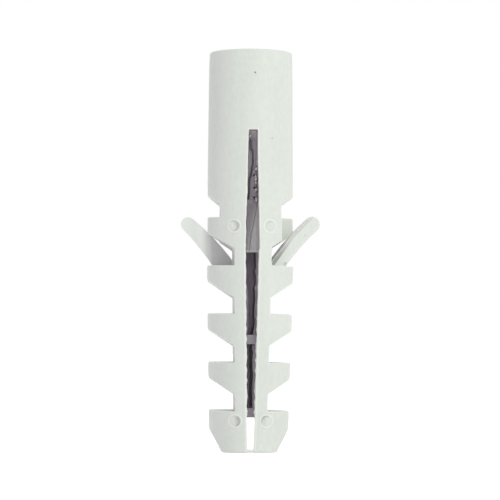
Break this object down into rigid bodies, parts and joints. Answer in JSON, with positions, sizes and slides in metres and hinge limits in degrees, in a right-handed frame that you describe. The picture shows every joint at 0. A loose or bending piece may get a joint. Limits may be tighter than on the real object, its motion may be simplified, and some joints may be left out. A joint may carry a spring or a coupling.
{
  "type": "wall plug",
  "caption": "One-piece nylon wall plug: round collar with a tapering screw bore, slotted toothed shank and two locking wings that splay out from opposite halves.",
  "frame": {"origin": "middle of the bounding box's footprint at the tip's flat end, on the plug's axis to within 0.1 mm", "axes": "+Z along the plug's axis from the tip to the mouth of the screw bore, +X to the right in the picture, -Y towards the side with the ejector marks"},
  "size_m": [0.0174, 0.0107, 0.05],
  "materials": {
    "natural_nylon": "satin, as moulded, near-white with a faint green cast"
  },
  "bodies": {
    "root": {"plug_body": "natural_nylon"}
  },
  "joints": []
}
